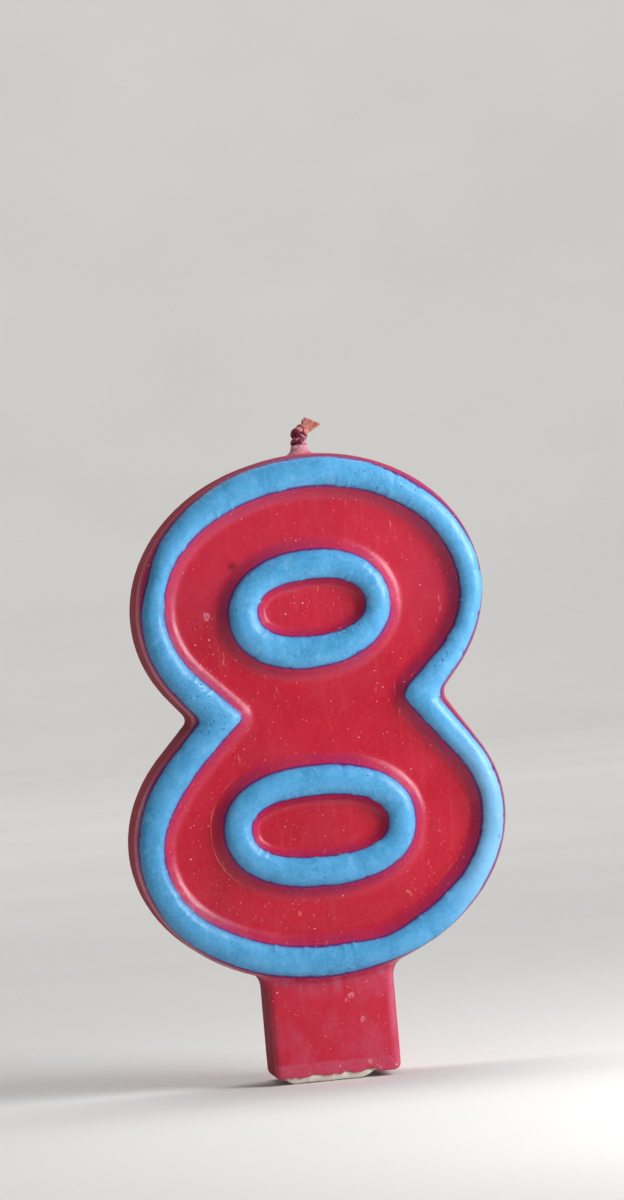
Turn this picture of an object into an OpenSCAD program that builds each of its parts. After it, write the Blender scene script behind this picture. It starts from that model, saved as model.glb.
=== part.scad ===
// Number birthday candle: a flat wax figure eight on a plain stub.
// A pale cast core is dipped in red wax, every raised ridge carries a
// bead of blue wax, and a braided wick runs down the middle.
// Millimetres. The origin is the middle of the stub's bottom end,
// +Z runs up the candle, and the decorated front looks towards -Y.

/* [Upper lobe] */
// Half width of the upper lobe, to the outer edge of its bead
upper_half_w = 21.1; // [20:0.1:22]
// Half height of the upper lobe, to the outer edge of its bead
upper_half_h = 17.5; // [17:0.1:18]
// Sideways place of the upper lobe's centre
upper_x = 1.5; // [0:0.1:2]
// Height of the upper lobe's centre above the foot
upper_z = 59.1; // [58.4:0.1:59.9]

/* [Lower lobe] */
// Half width of the lower lobe, to the outer edge of its bead
lower_half_w = 22.7; // [22:0.1:23.5]
// Half height of the lower lobe, to the outer edge of its bead
lower_half_h = 17.8; // [17:0.1:18]
// Sideways place of the lower lobe's centre
lower_x = 0.4; // [0:0.1:1]
// Height of the lower lobe's centre above the foot
lower_z = 30.9; // [30.4:0.1:31.4]

/* [Waist] */
// Sideways place of the left notch, at the bead's outer edge
waist_left = -13.3; // [-14:0.1:-12.5]
// Sideways place of the right notch, at the bead's outer edge
waist_right = 16.1; // [15.5:0.1:16.5]
// Height of the left notch above the foot
waist_left_z = 45.6; // [45.2:0.1:45.9]
// Height of the right notch above the foot
waist_right_z = 46.5; // [45.9:0.1:46.9]
// Width of the outline bead across the left notch
left_notch_w = 5.3; // [4.5:0.1:5.6]
// Width of the outline bead across the right notch
right_notch_w = 4.6; // [4:0.1:5]

/* [Beads] */
// Width of the outline bead at a lobe's left and right sides
bead_side_w = 2.8; // [2.5:0.1:3]
// Width of the outline bead at a lobe's top and bottom
bead_crown_w = 3.65; // [3.4:0.05:3.9]
// Thickness of a bead at its crest
bead_t = 0.8; // [0.5:0.05:1]
// Thickness of a bead at its two edges
bead_edge_t = 0.25; // [0.15:0.05:0.4]

/* [Rings] */
// Half width of the upper ring
upper_ring_half_w = 10; // [9.5:0.1:10.5]
// Half height of the upper ring
upper_ring_half_h = 7.2; // [6.8:0.1:7.6]
// Half width of the lower ring
lower_ring_half_w = 11.8; // [11.3:0.1:12.3]
// Half height of the lower ring
lower_ring_half_h = 7.4; // [7:0.1:7.8]
// Width of a ring's bead
ring_w = 3.5; // [3.2:0.1:3.8]

/* [Body] */
// Depth from the flat back to the sunk field, which is also the stub's
body_d = 10; // [9:0.5:12]
// Height of a bead's crest above the sunk field of the figure
relief_h = 2; // [1.5:0.1:2.5]
// Red margin between the outline bead and the side of the body
rim = 0.55; // [0.4:0.05:0.8]
// Thickness of the red dipped skin
dip_t = 0.6; // [0.4:0.05:0.8]

/* [Stub] */
// Width of the stub
stub_w = 15.7; // [14.5:0.1:16.5]
// Radius of the skin's corners at the bottom of the stub
stub_corner_r = 0.9; // [0.7:0.1:1.2]
// Height of bare core below the edge of the skin
foot_h = 0.9; // [0.7:0.05:1.1]

/* [Wick] */
// Sideways place of the wick
wick_x = 2.4; // [1.5:0.1:3]
// Place of the wick towards the back
wick_y = 0; // [-1:0.1:1]
// Radius of the bore that holds the wick
wick_bore_r = 1.1; // [1.05:0.05:1.3]
// Height at which the wick ends inside the stub
wick_bottom_z = 6; // [4:0.5:10]
// Height at which the wick's free end starts to bend
wick_bend_z = 79.1; // [78.6:0.1:79.6]
// Angle that the wick's free end bends to the right
wick_bend = 55; // [20:5:70]

/* [Hidden] */

// Depths, with the front towards -Y
back_y = body_d / 2;
field_y = -body_d / 2;
ridge_y = field_y - relief_h + bead_t;

// Curves: a lobe is [x, z, half width, half height, lean in degrees]
upper_lean = 6;
lower_lean = 6.3;
upper_inner_lean = 2.8;
lower_inner_lean = 5.2;
upper_edge = [upper_x, upper_z, upper_half_w, upper_half_h, upper_lean];
lower_edge = [lower_x, lower_z, lower_half_w, lower_half_h, lower_lean];
upper_field = [upper_x + 0.1, upper_z + 0.2, upper_half_w - bead_side_w,
               upper_half_h - bead_crown_w, upper_inner_lean];
lower_field = [lower_x + 0.2, lower_z, lower_half_w - bead_side_w,
               lower_half_h - bead_crown_w, lower_inner_lean];
edge_waist = [[waist_left, waist_left_z], [waist_right, waist_right_z]];
field_waist = [[waist_left + left_notch_w, waist_left_z],
               [waist_right - right_notch_w, waist_right_z + 0.1]];
// A notch's corner moves this much further than its flanks do
notch_spread = 1.35;

// Rings: ovals a little squarer than an ellipse
upper_ring = [upper_x - 0.3, upper_z - 1, upper_ring_half_w,
              upper_ring_half_h, 4];
lower_ring = [lower_x - 0.2, lower_z + 0.6, lower_ring_half_w,
              lower_ring_half_h, 0];
ring_power = 2.25;

lobe_steps = 44;
flank_steps = 3;
ring_steps = 56;
bead_steps = 6;

// Stub
core_corner_r = 2.2;
corner_steps = 8;
stub_top_z = lower_z - lower_half_h / 2;
// Places on the lower lobe, as curve angles, where the stub's fillets end
fillet_angles = [-119, -73];

// Wick
wick_top_z = upper_z + upper_half_h + rim;
collar_h = 1;
collar_sink = 0.8;
collar_r = 2.3;
collar_tip_r = 1.3;
bend_r = 1.3;
tip_len = 1.5;
straight_len = wick_bend_z - wick_bottom_z;
bend_len = bend_r * wick_bend * PI / 180;
wick_len = straight_len + bend_len + tip_len;
// A strand sways this far sideways and front to back in each plait
sway_w = 0.68;
sway_d = 0.42;
plait_len = 5;
strand_r = 0.32;
strand_sides = 6;
strand_rings = 112;

// A lobe whose edge lies g further out
function grown(lobe, g) =
    [lobe[0], lobe[1], lobe[2] + g, lobe[3] + g, lobe[4]];

// Notch corners for an edge that lies g further out
function grown_waist(waist, g) =
    [waist[0] - [g * notch_spread, 0], waist[1] + [g * notch_spread, 0]];

// The point at curve angle a on an oval; power 2 is an ellipse
function on_oval(o, a, power = 2) =
    let (u = o[2] * sign(cos(a)) * pow(abs(cos(a)), 2 / power),
         v = o[3] * sign(sin(a)) * pow(abs(sin(a)), 2 / power))
    [o[0] + u * cos(o[4]) - v * sin(o[4]),
     o[1] + u * sin(o[4]) + v * cos(o[4])];

// The curve angle at which a straight flank from point p meets a lobe
function flank_angle(lobe, p, side) =
    let (dx = p[0] - lobe[0],
         dz = p[1] - lobe[1],
         u = (dx * cos(lobe[4]) + dz * sin(lobe[4])) / lobe[2],
         v = (dz * cos(lobe[4]) - dx * sin(lobe[4])) / lobe[3])
    atan2(v, u) + side * acos(1 / norm([u, v]));

// The round stretch of a lobe, anticlockwise between two notch corners
function lobe_arc(lobe, start, end) =
    let (a0 = flank_angle(lobe, start, 1),
         a1 = flank_angle(lobe, end, -1),
         sweep = a1 < a0 ? a1 + 360 - a0 : a1 - a0)
    [for (i = [0 : lobe_steps]) on_oval(lobe, a0 + sweep * i / lobe_steps)];

// Points along a straight flank, without the one at its start
function flank(p, q) =
    [for (i = [1 : flank_steps]) p + (q - p) * i / flank_steps];

// The same without the point at its end either
function open_flank(p, q) =
    [for (i = [1 : flank_steps - 1]) p + (q - p) * i / flank_steps];

// Closed outline of the figure: two lobes, four flanks, two notches
function figure(upper, lower, waist) =
    let (top = lobe_arc(upper, waist[1], waist[0]),
         low = lobe_arc(lower, waist[0], waist[1]))
    concat(top, flank(top[lobe_steps], waist[0]),
           open_flank(waist[0], low[0]), low,
           flank(low[lobe_steps], waist[1]), open_flank(waist[1], top[0]));

function edge_points(g) =
    figure(grown(upper_edge, g), grown(lower_edge, g),
           grown_waist(edge_waist, g));

function field_points(g) =
    figure(grown(upper_field, g), grown(lower_field, g),
           grown_waist(field_waist, g));

function ring_points(ring, g) =
    [for (i = [0 : ring_steps - 1])
        on_oval(grown(ring, g), 360 * i / ring_steps, ring_power)];

// Stands a drawing up as a slab between two depths
module slab(front, back) {
    translate([0, back, 0])
        rotate([90, 0, 0])
            linear_extrude(back - front)
                children();
}

// Front view of the stub, s inside the dipped skin
module stub_shape(s, bottom, corner_r) {
    half = stub_w / 2 - s;
    polygon(concat(
        [[half, stub_top_z], [-half, stub_top_z]],
        [for (i = [0 : corner_steps])
            let (a = 180 + 90 * i / corner_steps)
            [corner_r - half + corner_r * cos(a),
             bottom + corner_r + corner_r * sin(a)]],
        [for (i = [0 : corner_steps])
            let (a = 270 + 90 * i / corner_steps)
            [half - corner_r + corner_r * cos(a),
             bottom + corner_r + corner_r * sin(a)]]));
}

// Hollow fillet between one side of the stub and the lower lobe
module stub_fillet(side, angle, s) {
    half = stub_w / 2 - s;
    end = on_oval(grown(lower_edge, rim - s), angle);
    r = abs(end[0]) - half;
    corner = [side * half, end[1]];
    arc_centre = corner + [side * r, -r];
    polygon(concat(
        [corner + [-side * r, r], corner + [side * r, r]],
        [for (i = [0 : corner_steps])
            let (a = 90 + side * 90 * i / corner_steps)
            arc_centre + r * [cos(a), sin(a)]],
        [corner + [-side * r, -r]]));
}

// Front view of the whole wax form, s inside the dipped skin
module form_shape(s, bottom, corner_r) {
    polygon(edge_points(rim - s));
    stub_shape(s, bottom, corner_r);
    stub_fillet(-1, fillet_angles[0], s);
    stub_fillet(1, fillet_angles[1], s);
}

module ring_band(ring, s) {
    difference() {
        polygon(ring_points(ring, -s));
        polygon(ring_points(ring, s - ring_w));
    }
}

// Solid wax form with its raised ridges, s inside the dipped skin
module wax_form(s, bottom, corner_r) {
    union() {
        slab(field_y + s, back_y - s)
            form_shape(s, bottom, corner_r);
        slab(ridge_y + s, field_y + s)
            difference() {
                polygon(edge_points(rim - s));
                polygon(field_points(s));
            }
        slab(ridge_y + s, field_y + s)
            ring_band(upper_ring, s);
        slab(ridge_y + s, field_y + s)
            ring_band(lower_ring, s);
    }
}

module wick_bore(top) {
    translate([wick_x, wick_y, wick_bottom_z])
        cylinder(h = top - wick_bottom_z, r = wick_bore_r, $fn = 48);
}

module wax_core() {
    color("antiquewhite")
        difference() {
            wax_form(dip_t, 0, core_corner_r);
            wick_bore(wick_top_z + collar_h);
        }
}

module red_overdip() {
    color("crimson")
        difference() {
            union() {
                wax_form(0, foot_h, stub_corner_r);
                translate([wick_x, wick_y, wick_top_z - collar_sink])
                    cylinder(h = collar_sink + collar_h, r1 = collar_r,
                             r2 = collar_tip_r, $fn = 48);
            }
            wax_form(dip_t, 0, core_corner_r);
            wick_bore(wick_top_z + 2 * collar_h);
        }
}

// Height of a domed bead at t, from 0 at its inner edge to 1 at its outer
function bead_h(t) =
    bead_edge_t + (bead_t - bead_edge_t) * (1 - pow(abs(2 * t - 1), 2.4));

// Closed bead lofted between two outlines that have the same point count
module bead(inner, outer) {
    count = len(inner);
    row = bead_steps + 3;
    points = [for (i = [0 : count - 1]) each concat(
        [[inner[i][0], ridge_y, inner[i][1]]],
        [for (k = [0 : bead_steps])
            let (t = k / bead_steps,
                 p = inner[i] + (outer[i] - inner[i]) * t)
            [p[0], ridge_y - bead_h(t), p[1]]],
        [[outer[i][0], ridge_y, outer[i][1]]])];
    faces = [for (i = [0 : count - 1], k = [0 : row - 1])
        let (j = (i + 1) % count,
             m = (k + 1) % row)
        [i * row + k, j * row + k, j * row + m, i * row + m]];
    polyhedron(points, faces);
}

module outline_bead() {
    color("deepskyblue")
        bead(field_points(0), edge_points(0));
}

module ring_bead(ring) {
    color("deepskyblue")
        bead(ring_points(ring, -ring_w), ring_points(ring, 0));
}

// How far the wick has turned from the vertical at length s
function wick_turn(s) =
    min(wick_bend, max(0, (s - straight_len) / bend_r * 180 / PI));

// Middle of the wick at length s
function wick_mid(s) =
    let (turn = wick_turn(s),
         rest = max(0, s - straight_len - bend_len))
    [wick_x + bend_r * (1 - cos(turn)) + rest * sin(wick_bend),
     wick_y,
     wick_bottom_z + min(s, straight_len) + bend_r * sin(turn)
         + rest * cos(wick_bend)];

// One plaited strand; the three strands are a third of a plait apart
module wick_strand(index) {
    points = [for (i = [0 : strand_rings])
        let (s = wick_len * i / strand_rings,
             turn = wick_turn(s),
             phase = 360 * (s / plait_len + index / 3),
             across = [cos(turn), 0, -sin(turn)],
             middle = wick_mid(s) + sway_w * sin(phase) * across
                 + [0, sway_d * sin(2 * phase), 0])
        for (k = [0 : strand_sides - 1])
            let (a = 360 * k / strand_sides)
            middle + strand_r * (cos(a) * across + [0, sin(a), 0])];
    sides = [for (i = [0 : strand_rings - 1], k = [0 : strand_sides - 1])
        let (m = (k + 1) % strand_sides)
        [i * strand_sides + k, (i + 1) * strand_sides + k,
         (i + 1) * strand_sides + m, i * strand_sides + m]];
    bottom = [for (k = [0 : strand_sides - 1]) k];
    top = [for (k = [0 : strand_sides - 1])
        (strand_rings + 1) * strand_sides - 1 - k];
    color("brown")
        polyhedron(points, concat(sides, [bottom, top]));
}

wax_core();
red_overdip();
outline_bead();
ring_bead(upper_ring);  // upper_ring_bead
ring_bead(lower_ring);  // lower_ring_bead
wick_strand(0);  // wick_strand_1
wick_strand(1);  // wick_strand_2
wick_strand(2);  // wick_strand_3
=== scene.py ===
import math

import bpy
import numpy as np
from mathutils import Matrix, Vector
from mathutils.kdtree import KDTree


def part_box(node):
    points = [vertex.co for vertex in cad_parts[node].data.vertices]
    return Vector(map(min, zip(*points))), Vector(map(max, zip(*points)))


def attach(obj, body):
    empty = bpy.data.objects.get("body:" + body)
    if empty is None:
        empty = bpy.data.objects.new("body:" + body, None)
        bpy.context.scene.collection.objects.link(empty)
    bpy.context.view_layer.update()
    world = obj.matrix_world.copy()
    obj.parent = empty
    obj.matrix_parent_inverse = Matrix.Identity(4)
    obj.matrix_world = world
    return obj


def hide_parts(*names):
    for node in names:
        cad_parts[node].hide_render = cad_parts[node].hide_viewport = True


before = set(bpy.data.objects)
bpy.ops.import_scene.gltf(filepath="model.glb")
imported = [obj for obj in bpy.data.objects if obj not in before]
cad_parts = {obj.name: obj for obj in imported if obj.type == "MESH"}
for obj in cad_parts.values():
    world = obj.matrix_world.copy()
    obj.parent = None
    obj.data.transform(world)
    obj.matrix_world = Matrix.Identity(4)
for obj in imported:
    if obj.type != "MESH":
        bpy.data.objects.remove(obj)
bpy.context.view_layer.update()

# ---------------------------------------------------------------- dimensions
# Shapes are worked out in millimetres in the part's frame: X to the right, Z
# up, and the decorated front towards -Y. MM turns them into metres.
MM = 0.001


def node_box(node):
    """Lowest and highest corner of a CAD node, in millimetres."""
    low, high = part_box(node)
    return np.array(low) / MM, np.array(high) / MM


skin_low, skin_high = node_box("red_overdip")
core_low, core_high = node_box("wax_core")
bead_low, _ = node_box("outline_bead")

BACK_Y = skin_high[1]
CREST_Y = bead_low[1]
RELIEF = 2.0
FIELD_Y = CREST_Y + RELIEF
DIP_T = BACK_Y - core_high[1]
FOOT_H = skin_low[2]
RIM = 0.55

# A curve is an oval: x, z, half width, half height, lean in degrees, and a
# power that is 2 for an ellipse and more for a squarer one.
UPPER_EDGE = (1.5, 59.1, 21.1, 17.5, 6.0, 2.0)
LOWER_EDGE = (0.4, 30.9, 22.7, 17.8, 6.3, 2.0)
UPPER_FIELD = (1.6, 59.3, 18.3, 13.85, 2.8, 2.0)
LOWER_FIELD = (0.6, 30.9, 19.9, 14.15, 5.2, 2.0)
UPPER_RING = (1.2, 58.1, 10.0, 7.2, 4.0, 2.15)
UPPER_COUNTER = (1.5, 58.25, 6.7, 3.5, 2.1, 2.3)
LOWER_RING = (0.2, 31.5, 11.8, 7.4, 0.0, 2.25)
LOWER_COUNTER = (0.25, 31.45, 8.5, 3.8, 0.0, 2.4)

# Notch corners at the waist, left and right, with the length of each flank
# that its rounding takes
EDGE_NOTCHES = ((-13.3, 45.6, 1.0), (16.1, 46.5, 1.3))
FIELD_NOTCHES = ((-8.0, 45.6, 0.9), (11.5, 46.65, 2.0))
NOTCH_SPREAD = 1.35

# Where the dipped edge swells or draws in: oval, angle about its middle,
# spread in degrees, and how far out
EDGE_BUMPS = ((UPPER_EDGE, 168, 9, -0.45), (UPPER_EDGE, 3, 12, 0.25), (UPPER_EDGE, 45, 15, -0.25),
              (LOWER_EDGE, 210, 12, 0.2), (LOWER_EDGE, 315, 14, 0.25), (LOWER_EDGE, 42, 12, -0.2))
FIELD_BUMPS = ((UPPER_FIELD, 350, 15, 0.25), (UPPER_FIELD, 118, 30, -0.17),
               (LOWER_FIELD, 163, 13, -0.5), (LOWER_FIELD, 203, 12, 0.22), (LOWER_FIELD, 297, 15, 0.6))
WAIST_Z = 46.1

STUB_HALF_W = 7.85
STUB_CORNER_R = 1.1
STUB_TOP_Z = 20.9
STUB_BLEND = 1.7
# The skin's lower edge is torn from one place to another, and hangs a
# little lower at both corners. The core's bare foot is narrower.
TORN_FROM_X, TORN_TO_X = -6.4, 4.8
CORNER_DROP = 0.25
EDGE_SOFT = 0.3
FOOT_X = -0.85
FOOT_HALF_W = 5.6
FOOT_FLAT_FROM_X, FOOT_FLAT_TO_X = -5.1, 2.6
FOOT_END = 1.9
CORE_CORNER_R = 2.2
FLANGE_INSET = 0.25

# Heights above the sunk field, and the skirt: a straight slope, then a
# hollow foot that runs out into the field
EDGE_H = 1.1
RED_CREST_H = 1.5
SLOPE_W = 0.7
FOOT_W = 1.25
# In the two counters the skirt is this many times narrower
COUNTER_SQUEEZE = 1.5
SHOULDER = 1.0
BACK_ROUND = 1.1

# Share of the faces taken out of the skin's hidden side and flat back
THINNED_OUT = 0.9

# On the right, the painted glint at the outline's foot is kept, at half strength, only below this height
PAINTED_GLINT_TO_Z = 34.0

# Small burst bubbles in the red face: x, z and radius
BUBBLES = ((-11.4, 58.2, 0.5), (2.3, 10.3, 0.4), (1.7, 9.8, 0.25), (3.5, 7.3, 0.35))
# Where the red face is scratched: x, z and radius
SCRATCHED = (-10.4, 53.4, 2.6)
# A stain in the red face: x, z and radius
STAIN = (-7.7, 64.1, 0.9)

# Stretches of blue wax with crowded pinholes: x, z and how far they reach
PITTED_PLACES = ((-10.5, 47.4, 4.5), (12.5, 70.9, 5.5), (17.5, 50.4, 2.5), (5.5, 56.9, 2.5))

WICK_X = 2.4
WICK_BOTTOM_Z = 6.0
WICK_BEND_Z = 79.2
WICK_BEND = math.radians(54)
WICK_BEND_R = 1.3
WICK_TIP = 2.0
WICK_ROOT_Z = 72.0
COLLAR_R = 1.12
COLLAR_TOP_Z = 78.4
# Round the wick's root the skin keeps all its faces, out to this radius
ROOT_R = 4.0

# The photograph's height, and its scale at the candle's front
PICTURE_H_PX = 1200
PX_PER_MM = 8.15


# -------------------------------------------------------------------- noise
def noise_lattice(seed):
    return np.random.default_rng(seed).uniform(-1, 1, (32, 32, 32))


def noise(points, size, seed):
    """Smooth noise from -1 to 1 at points, with bumps about size apart."""
    p = np.asarray(points, float) / size
    cell = np.floor(p).astype(int)
    f = p - cell
    f = f * f * (3 - 2 * f)
    lattice = noise_lattice(seed)
    total = np.zeros(len(p))
    for dx in (0, 1):
        for dy in (0, 1):
            for dz in (0, 1):
                corner = (cell + (dx, dy, dz)) % 32
                weight = (np.where(dx, f[:, 0], 1 - f[:, 0])
                          * np.where(dy, f[:, 1], 1 - f[:, 1])
                          * np.where(dz, f[:, 2], 1 - f[:, 2]))
                total += weight * lattice[corner[:, 0], corner[:, 1], corner[:, 2]]
    return total


def smooth_min(a, b, k):
    h = np.clip(0.5 + 0.5 * (b - a) / k, 0, 1)
    return b + (a - b) * h - k * h * (1 - h)


def smooth_max(a, b, k):
    return -smooth_min(-a, -b, k)


# ------------------------------------------------------------------- curves
def on_oval(oval, angle):
    """Points on an oval at curve angles, in radians."""
    x, z, half_w, half_h, lean, power = oval
    c, s = np.cos(angle), np.sin(angle)
    u = half_w * np.sign(c) * np.abs(c) ** (2 / power)
    v = half_h * np.sign(s) * np.abs(s) ** (2 / power)
    t = math.radians(lean)
    return np.stack([x + u * math.cos(t) - v * math.sin(t),
                     z + u * math.sin(t) + v * math.cos(t)], -1)


def grown(oval, g):
    return oval[:2] + (oval[2] + g, oval[3] + g) + oval[4:]


def flank_angle(oval, point, side):
    """Curve angle where a straight flank from point touches an ellipse."""
    x, z, half_w, half_h, lean, _ = oval
    t = math.radians(lean)
    dx, dz = point[0] - x, point[1] - z
    u = (dx * math.cos(t) + dz * math.sin(t)) / half_w
    v = (dz * math.cos(t) - dx * math.sin(t)) / half_h
    return math.atan2(v, u) + side * math.acos(1 / math.hypot(u, v))


def line(p, q, count):
    f = np.arange(count)[:, None] / count
    return p + (q - p) * f


def notch(start, corner, end, reach, count):
    """A rounded corner: two straight flanks and a curve between them."""
    into, out = corner - start, end - corner
    a = corner - into / np.linalg.norm(into) * reach
    b = corner + out / np.linalg.norm(out) * reach
    f = np.arange(count)[:, None] / count
    curve = a * (1 - f) ** 2 + corner * 2 * f * (1 - f) + b * f ** 2
    return np.vstack([line(start, a, count), curve, line(b, end, count)])


def figure(upper, lower, notches, grow=0.0, arc=560, flank=40):
    """The figure's closed outline, anticlockwise from the right notch."""
    upper, lower = grown(upper, grow), grown(lower, grow)
    (lx, lz, l_reach), (rx, rz, r_reach) = notches
    left = np.array([lx - grow * NOTCH_SPREAD, lz])
    right = np.array([rx + grow * NOTCH_SPREAD, rz])
    arcs = []
    for oval, start, end in ((upper, right, left), (lower, left, right)):
        a = flank_angle(oval, start, 1)
        b = flank_angle(oval, end, -1)
        b += 2 * math.pi if b < a else 0
        arcs.append(on_oval(oval, np.linspace(a, b, arc)))
    top, low = arcs
    return np.vstack([top[:-1], notch(top[-1], left, low[0], l_reach, flank),
                      low[:-1], notch(low[-1], right, top[0], r_reach, flank)])


def pushed(curve, lobe_z, bumps):
    """Moves a curve in or out near given angles about an oval's middle."""
    out = curve.copy()
    for oval, angle, spread, push in bumps:
        away = curve - oval[:2]
        reach = np.linalg.norm(away, axis=1)
        turn = np.degrees(np.arctan2(away[:, 1], away[:, 0])) - angle
        turn = (turn + 180) % 360 - 180
        own = (curve[:, 1] > lobe_z) == (oval[1] > lobe_z)
        shift = push * np.exp(-(turn / spread) ** 2) * own
        out += away / reach[:, None] * shift[:, None]
    return out


def ring(oval, count=320):
    return on_oval(oval, np.arange(count) * 2 * math.pi / count)


# ---------------------------------------------------- distances on a drawing
GRID = 0.28
xs = np.arange(skin_low[0] - 1, skin_high[0] + 1.2, GRID)
FINE_TO_Z = 3.0
zs = np.concatenate([np.arange(-0.42, FINE_TO_Z, GRID / 2),
                     np.arange(FINE_TO_Z, WICK_BEND_Z + 3, GRID)])


def fill_line(curve, step=0.08):
    """Points along a closed curve, no more than step apart."""
    ahead = np.roll(curve, -1, axis=0)
    gap = np.linalg.norm(ahead - curve, axis=1)
    out = [p + (q - p) * np.arange(n)[:, None] / n
           for p, q, n in zip(curve, ahead, np.maximum(1, np.ceil(gap / step)).astype(int))]
    return np.vstack(out)


def distance_map(curve):
    """Signed distance on the drawing grid, negative inside the curve."""
    dense = fill_line(curve)
    tree = KDTree(len(dense))
    for i, (x, z) in enumerate(dense):
        tree.insert((x, z, 0), i)
    tree.balance()
    away = np.array([[tree.find((x, z, 0))[2] for z in zs] for x in xs])
    a, b = curve, np.roll(curve, -1, axis=0)
    inside = np.zeros(away.shape, bool)
    for k, z in enumerate(zs):
        hit = (a[:, 1] > z) != (b[:, 1] > z)
        p, q = a[hit], b[hit]
        cross = np.sort(p[:, 0] + (z - p[:, 1]) / (q[:, 1] - p[:, 1]) * (q[:, 0] - p[:, 0]))
        inside[:, k] = np.searchsorted(cross, xs) % 2 == 1
    return np.where(inside, -away, away)


def stub_map(inset, bottom, corner_r):
    """Signed distance to the stub's front view with rounded lower corners."""
    x, z = np.meshgrid(xs, zs, indexing="ij")
    half_h = (STUB_TOP_Z - bottom) / 2
    dx = np.abs(x) - (STUB_HALF_W - inset - corner_r)
    dz = np.abs(z - bottom - half_h) - (half_h - corner_r)
    outside = np.hypot(np.maximum(dx, 0), np.maximum(dz, 0))
    return outside + np.minimum(np.maximum(dx, dz), 0) - corner_r


edge_curve = pushed(figure(UPPER_EDGE, LOWER_EDGE, EDGE_NOTCHES), WAIST_Z, EDGE_BUMPS)
field_curve = pushed(figure(UPPER_FIELD, LOWER_FIELD, FIELD_NOTCHES), WAIST_Z, FIELD_BUMPS)
wall_map = distance_map(figure(UPPER_EDGE, LOWER_EDGE, EDGE_NOTCHES, RIM))
edge_map = distance_map(edge_curve)
field_map = distance_map(field_curve)
bands = [(-edge_map, field_map)]
for outer, inner in ((UPPER_RING, UPPER_COUNTER), (LOWER_RING, LOWER_COUNTER)):
    inner_gap = distance_map(ring(inner))
    squeeze = np.where(inner_gap < 0, COUNTER_SQUEEZE, 1.0)
    bands.append((-distance_map(ring(outer)), inner_gap * squeeze))


def skirt_height(away):
    """Height of a ridge's skirt at a distance out from the blue edge."""
    steep = EDGE_H / (SLOPE_W + FOOT_W / 2)
    slope = EDGE_H - steep * away
    hollow = steep * np.maximum(SLOPE_W + FOOT_W - away, 0) ** 2 / (2 * FOOT_W)
    return np.where(away < SLOPE_W, slope, hollow)


def ridge_height(outer_gap, inner_gap, skirt_outside):
    """Height of a red ridge, from the distances inside its two edges."""
    across = np.clip(outer_gap / np.maximum(outer_gap + inner_gap, 1e-6), 0, 1)
    dome = EDGE_H + (RED_CREST_H - EDGE_H) * (1 - np.abs(2 * across - 1) ** 2.3)
    away = np.maximum(-inner_gap, -outer_gap)
    skirt = skirt_height(np.maximum(away, 0))
    if not skirt_outside:
        skirt = np.where(outer_gap < 0, EDGE_H + 0.5 * outer_gap, skirt)
    return np.where(away < 0, dome, skirt)


relief = ridge_height(*bands[0], skirt_outside=False)
for band in bands[1:]:
    relief = smooth_max(relief, ridge_height(*band, skirt_outside=True), 0.05)
grid_x, grid_z = np.meshgrid(xs, zs, indexing="ij")
flat = np.stack([grid_x.ravel(), np.zeros(grid_x.size), grid_z.ravel()], -1)
sway = (0.05 * noise(flat, 9.0, 1) + 0.03 * noise(flat, 3.5, 2)).reshape(grid_x.shape)
# Off the figure, on the stub, the front is the plain field
on_figure = np.clip(0.5 - wall_map / 0.8, 0, 1)
front_map = FIELD_Y - relief * on_figure - sway
steep = np.hypot(*np.gradient(front_map, xs, zs))
steep = np.sqrt(1 + steep ** 2)
# Distance from the nearest blue edge, out on the red
ridge_gap = np.min([np.maximum(-o, -i) for o, i in bands], axis=0)
# Where moving left leads away from a ridge, outside the two counters: there a painted glint lines the
# skirts' foot
in_counter = np.minimum(bands[1][1], bands[2][1]) < 0
painted_glint_foot = np.clip((-np.gradient(ridge_gap, xs, axis=0) - 0.5) / 0.4, 0, 1) * ~in_counter
painted_glint_foot *= np.where(grid_x > 3, 0.5 * (grid_z < PAINTED_GLINT_TO_Z), np.where(grid_z > WAIST_Z, 0.45, 1.0))


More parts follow.
